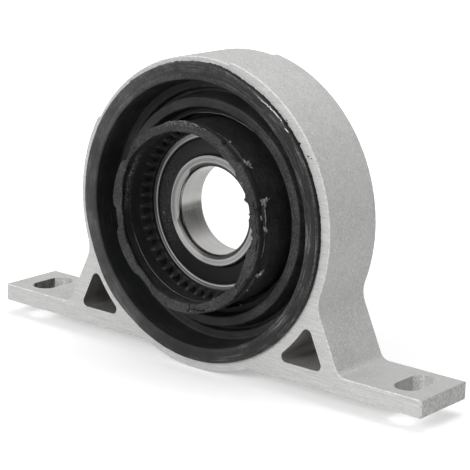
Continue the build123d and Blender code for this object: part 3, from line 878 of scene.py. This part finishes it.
def seal_look():
    """The seals' black rubber, darker towards the bottom, speckled with dust at the left, lighter towards
    the top, and painted dark in the gap beside the outer ring as shade.
    """
    look = Look("seal_rubber", rough=0.5, specular=0.25)
    turned = look.noise(look.round_lines(3.0, 4.0), 1.0, 2.0)
    grain = look.noise(look.place, 1500.0, 3.0, 0.6)
    stipple = look.fine_noise(1900.0, 1.0, 0.5, 0.45, 0.65)
    color = look.mix(look.clamp(turned, 0.3, 0.7), (0.011, 0.011, 0.0115), (0.018, 0.018, 0.019))
    # Darker towards the bottom.
    color = look.mix(look.clamp(look.z, 0.0, -18.0, 0.0, 0.6), color, (0.005, 0.005, 0.005))
    dust = (0.2, 0.2, 0.2)
    color = look.mix(look.times(stipple, look.clamp(look.x, -12.0, -20.0), 0.17), color, dust)
    # The top is painted lighter with the same grey.
    color = look.mix(look.clamp(look.z, 12.0, 22.0, 0.0, 0.08), color, dust)
    # Painted shade in the gap beside the outer ring.
    color = look.mix(look.clamp(look.radius, 24.35, 24.6), color, (0.002, 0.002, 0.002))
    look.paint(color, look.clamp(grain, 0.3, 0.7, 0.42, 0.6))
    look.bump(look.add(turned, grain), 0.06, 0.5)
    return look


# Looks of the steel

INNER_RING_OUTSIDE = 18.6
RING_CORNER_Y, RING_CORNER = -5.0, 1.5
OUTER_RING_INSIDE = 23.5
# Sides of the rings where light is painted (LIT_SIDE) and where the bore's corner shows a painted reflection
# of the bright floor (BRIGHT_FLOOR_SIDE)
LIT_SIDE = 230.3
BRIGHT_FLOOR_SIDE = 165


def inner_ring_face(look, turned):
    """The inner ring's face: dull, with a painted lit copy at its lower left and towards the bottom, painted
    highlight lines near its edges, and painted shade at its outer corner beside the seal but for the top."""
    grain = look.fine_noise(2600.0, 3.0, 0.7, 0.36, 0.64)
    rough = look.add(look.times(look.clamp(turned, 0.3, 0.7), 0.5), look.times(grain, 0.5))
    dull = look.mix(rough, (0.165, 0.165, 0.163), (0.35, 0.35, 0.346))
    lit = look.mix(rough, (0.38, 0.38, 0.375), (0.66, 0.66, 0.65))
    # Painted light: the lit copy at the lower left and, in part, towards the bottom.
    lower_left = look.clamp(look.toward(LIT_SIDE), 0.8, 0.97)
    color = look.mix(look.most(lower_left, look.clamp(look.z, -7.0, -14.0, 0.0, 0.35)), dull, lit)
    # Painted highlight lines near the face's inner and outer edges.
    edges = look.most(look.clamp(look.radius, 17.2, 16.7), look.clamp(look.radius, 17.8, 18.2))
    color = look.mix(look.times(edges, 0.25), color, (0.75, 0.75, 0.74))
    # Painted shade at the outer corner beside the seal, but for the top.
    corner = look.clamp(look.radius, INNER_RING_OUTSIDE - 0.25, INNER_RING_OUTSIDE)
    return look.mix(look.times(corner, look.clamp(look.z, 14.0, 6.0)), color, (0.03, 0.03, 0.03))


def outer_ring_face(look, turned):
    """The outer ring's face: dull and painted lighter towards the top as light, with painted shade in the
    seal groove, a painted highlight line beside it and a painted highlight on the lit chamfer.
    """
    dull = look.mix(look.clamp(turned, 0.3, 0.7), (0.11, 0.11, 0.109), (0.25, 0.25, 0.248))
    # Painted light: the face is lighter towards the top.
    dull = look.mix(look.clamp(look.z, 12.0, 24.0, 0.0, 0.9), dull, (0.6, 0.6, 0.59))
    # Painted shade: the seal groove is painted black.
    dull = look.mix(look.clamp(look.radius, 25.3, 25.1), dull, (0.01, 0.01, 0.01))
    # Painted highlights: a line beside the groove and the chamfer on the lit side.
    chamfer = look.band(look.radius, 26.55, 26.7, 26.9, 27.1)
    lit_chamfer = look.times(chamfer, look.clamp(look.toward(LIT_SIDE), 0.7, 0.95, 0.0, 0.7))
    bright = look.most(look.band(look.radius, 25.45, 25.6, 25.8, 26.0), lit_chamfer)
    return look.mix(bright, dull, (0.85, 0.85, 0.84))


def bore_corner(look, turned, color):
    """The bore's rounded front corner laid over the colour. It is dark for its turned finish, but for its
    left, where a painted reflection of the bright floor keeps it bright; the dark is painted lighter towards
    the lower left as light, with a painted highlight line at its lower left. Front runs from 0 in the bore
    to 1 on the face."""
    inside = look.clamp(look.radius, 16.6, 16.4)
    corner = look.times(inside, look.clamp(look.y, RING_CORNER_Y + 0.15, RING_CORNER_Y + 0.05))
    front = look.times(look.add(look.y, -RING_CORNER_Y), -1 / RING_CORNER)
    # Painted reflection: the corner stays bright on the side that shows the bright floor.
    limit = look.clamp(look.toward(BRIGHT_FLOOR_SIDE), 0.79, 1.0, 1.0, 0.1)
    shaded = look.clamp(look.math("SUBTRACT", front, limit), 0.12, -0.04)
    lit = look.clamp(look.toward(LIT_SIDE), 0.88, 0.97)
    dark = look.mix(look.clamp(turned, 0.35, 0.65), (0.03, 0.028, 0.026), (0.09, 0.086, 0.082))
    # Painted light: the dark is lighter towards the lower left.
    dark = look.mix(look.times(lit, 0.3), dark, (0.17, 0.167, 0.163))
    color = look.mix(look.times(corner, 0.25), color, (0.2, 0.2, 0.2))
    color = look.mix(look.times(corner, shaded), color, dark)
    # A painted highlight line at the lower left.
    line = look.times(lit, corner, look.clamp(front, 0.94, 0.99, 0.0, 0.5))
    return look.mix(line, color, (0.6, 0.595, 0.58))


def steel_look():
    """Ground steel: the flat faces are dull with fine turned lines, while the bore and the balls shine."""
    look = Look("bearing_steel", metallic=1.0, rough=0.25)
    turned = look.noise(look.round_lines(2.0, 9.0), 0.4, 4.0, 0.75)
    cloud = look.noise(look.place, 160.0, 2.0)
    normal = look.split(look.node("NewGeometry").outputs["True Normal"])
    flat = look.clamp(look.math("ABSOLUTE", normal[1]), 0.5, 0.9)
    outer = look.above(look.radius, OUTER_RING_INSIDE)
    ground = look.mix(look.clamp(turned, 0.25, 0.75), (0.50, 0.495, 0.48), (0.62, 0.615, 0.60))
    faces = look.mix(outer, inner_ring_face(look, turned), outer_ring_face(look, turned))
    color = bore_corner(look, turned, look.mix(flat, ground, faces))
    look.paint(color, look.add(look.clamp(cloud, 0.3, 0.7, 0.17, 0.26), look.times(flat, 0.2)))
    dulled = look.times(flat, look.math("SUBTRACT", 0.7, look.times(outer, 0.25)))
    look.feed(look.shader.inputs["Metallic"], look.math("SUBTRACT", 1.0, dulled))
    look.bump(turned, 0.02, 0.4)
    return look


def sleeve_look():
    look = Look("sleeve_steel", metallic=0.7, rough=0.5)
    grain = look.noise(look.place, 1800.0, 2.0)
    look.paint(look.mix(look.clamp(grain, 0.3, 0.7), (0.15, 0.148, 0.145), (0.24, 0.238, 0.232)))
    look.bump(grain, 0.04, 0.5)
    return look


def rust_look():
    """The outer sleeve's edge where it shows through the rim: bare steel with rust."""
    look = Look("rusty_steel", metallic=0.1, rough=0.6)
    rust = look.fine_noise(420.0, 4.0, 0.65, 0.42, 0.62)
    look.paint(look.mix(look.times(rust, 0.2), (0.95, 0.94, 0.92), (0.24, 0.16, 0.115)))
    look.bump(rust, 0.1, 0.6)
    return look


def cage_look():
    look = Look("cage_steel", metallic=1.0, rough=0.35)
    grain = look.noise(look.place, 900.0, 3.0)
    look.paint(look.mix(look.clamp(grain, 0.3, 0.7), (0.46, 0.45, 0.43), (0.58, 0.57, 0.55)))
    look.bump(grain, 0.03, 0.5)
    return look


# Look of the bracket

GUSSET_X, GUSSET_SLOPE = 39.63, 2.174
HOLLOW_INSET, HOLLOW_FLOOR = 3.2, -42.5
RING_OUTSIDE = 53.7
FOOT_TOP_LIMIT = -35.0
SLOT_INNER, SLOT_OUTER = 74.5, 85.5
FOOT_END = 90.5
SAWN_FACING, SIDEWAYS_FACING = 0.95, 0.3


def skin(look, grain, cloud, up):
    """The extrusion's speckled and clouded skin, darker on the tops of the feet."""
    blotch = look.fine_noise(380.0, 4.0, 0.7, 0.35, 0.65)
    color = look.mix(grain, (0.43, 0.43, 0.42), (0.65, 0.65, 0.635))
    color = look.mix(look.clamp(cloud, 0.35, 0.65, 0.0, 0.45), color, (0.60, 0.60, 0.585))
    color = look.mix(look.times(blotch, 0.3), color, (0.43, 0.43, 0.42))
    foot_top = look.times(look.above(up, 0.9), look.below(look.z, FOOT_TOP_LIMIT))
    darker = look.times(foot_top, look.clamp(look.x, -50.0, 50.0, 0.1, 0.35))
    return look.mix(darker, color, (0.38, 0.38, 0.375))


def sawn_face(look, lines):
    """A sawn end, with the saw's lines and specks."""
    speck = look.fine_noise(3200.0, 1.0, 0.5, 0.36, 0.64)
    color = look.mix(lines, (0.47, 0.47, 0.46), (0.62, 0.62, 0.61))
    dark = look.mix(0.3, color, (0.36, 0.36, 0.355))
    light = look.mix(0.25, color, (0.72, 0.72, 0.71))
    return look.mix(speck, dark, light)


def hollow_walls(look, cloud, sideways, color):
    """The hollows' dull walls laid over the colour, found between the ring and the gussets' outer faces,
    with the right hollow's walls painted lighter as light.
    """
    slope = look.add(look.times(look.z, -1 / GUSSET_SLOPE), GUSSET_X - HOLLOW_INSET)
    within = look.below(look.math("ABSOLUTE", look.x), slope)
    outside = look.above(look.radius, RING_OUTSIDE)
    hollow = look.times(within, outside, look.above(look.z, HOLLOW_FLOOR - 0.3), sideways)
    dull = look.mix(look.clamp(cloud, 0.35, 0.65), (0.15, 0.142, 0.135), (0.22, 0.21, 0.20))
    # Painted light: the right hollow's walls are lighter.
    dull = look.mix(look.above(look.x, 0.0), dull, look.mix(0.5, dull, (0.42, 0.41, 0.39)))
    return look.mix(hollow, color, dull)


def slot_walls(look, away, up, sideways, color):
    """The slots' milled walls laid over the colour, darker outward and lighter in the right foot."""
    upright = look.times(look.below(look.math("ABSOLUTE", up), SIDEWAYS_FACING), sideways)
    wall = look.times(upright, look.above(away, SLOT_INNER), look.below(away, SLOT_OUTER))
    stretched = look.scaled(look.place, 1700.0, 1700.0, 260.0)
    milled = look.clamp(look.noise(stretched, 1.0, 3.0, 0.7), 0.36, 0.64)
    milled = look.mix(milled, (0.05, 0.05, 0.049), (0.45, 0.45, 0.44))
    outward = look.clamp(away, SLOT_INNER + 5.0, SLOT_OUTER - 3.0, 0.0, 0.4)
    milled = look.mix(outward, milled, (0.07, 0.07, 0.069))
    left = look.mix(0.4, milled, (0.05, 0.05, 0.049))
    right = look.mix(0.55, milled, (0.6, 0.6, 0.59))
    return look.mix(wall, color, look.mix(look.above(look.x, 0.0), left, right))


def foot_ends(look, away, color):
    """The feet's scratched ends laid over the colour."""
    stretched = look.scaled(look.place, 1500.0, 1500.0, 900.0)
    scratched = look.clamp(look.noise(stretched, 1.0, 4.0, 0.75), 0.36, 0.64)
    ends = look.mix(scratched, (0.32, 0.32, 0.315), (0.57, 0.57, 0.56))
    return look.mix(look.above(away, FOOT_END), color, ends)


def aluminium_look():
    """Sawn ends with fine lines, a speckled skin, dull walls in the hollows and slots, the right hollow
    painted lighter as light, and painted highlights on the broken edges.
    """
    look = Look("sawn_aluminium", metallic=0.3, rough=0.6)
    normal = look.split(look.node("NewGeometry").outputs["True Normal"])
    up = normal[2]
    facing = look.math("ABSOLUTE", normal[1])
    sawn = look.above(facing, SAWN_FACING)
    sideways = look.below(facing, SIDEWAYS_FACING)
    away = look.math("ABSOLUTE", look.x)
    lines = look.clamp(look.noise(look.scaled(look.place, 110.0, 60.0, 3300.0), 1.0, 3.0, 0.7), 0.35, 0.65)
    grain = look.fine_noise(1700.0, 3.0, 0.7, 0.38, 0.62)
    cloud = look.noise(look.place, 90.0, 4.0, 0.7)
    color = look.mix(sawn, skin(look, grain, cloud, up), sawn_face(look, lines))
    color = hollow_walls(look, cloud, sideways, color)
    color = slot_walls(look, away, up, sideways, color)
    color = foot_ends(look, away, color)
    # Painted highlights: the broken edges between faces are painted lighter.
    edge = look.times(look.above(facing, SIDEWAYS_FACING), look.below(facing, SAWN_FACING))
    color = look.mix(look.times(edge, look.clamp(grain, 0.0, 1.0, 0.15, 0.7)), color, (0.85, 0.85, 0.84))
    look.paint(color, look.clamp(grain, 0.0, 1.0, 0.5, 0.65))
    look.bump(look.add(look.times(grain, 0.8), look.times(lines, sawn)), 0.08, 0.5)
    return look


camera()
studio()
floor()
looks = {
    "sawn_aluminium": aluminium_look(),
    "mount_rubber": rubber_look(),
    "seal_rubber": seal_look(),
    "bearing_steel": steel_look(),
    "sleeve_steel": sleeve_look(),
    "cage_steel": cage_look(),
}
slots = {part["node"]: part["material_slot"] for part in frame["record"]["subparts"]}
for name, node in frame["nodes"].items():
    node.data.materials.clear()
    node.data.materials.append(looks[slots[name]].material)
rubber(looks["mount_rubber"])
torn = torn_look()
strands("torn_strands", torn, "bearing_seat", TORN_STRANDS + tufts(7), 500)
strands("rubber_crumbs", looks["mount_rubber"], "bracket", RUBBER_CRUMBS, 520)
strands("seal_grit", torn, "bearing_seat", SEAL_GRIT, 540)
strands("rim_sliver", rust_look(), "bracket", RIM_SLIVERS, 601)
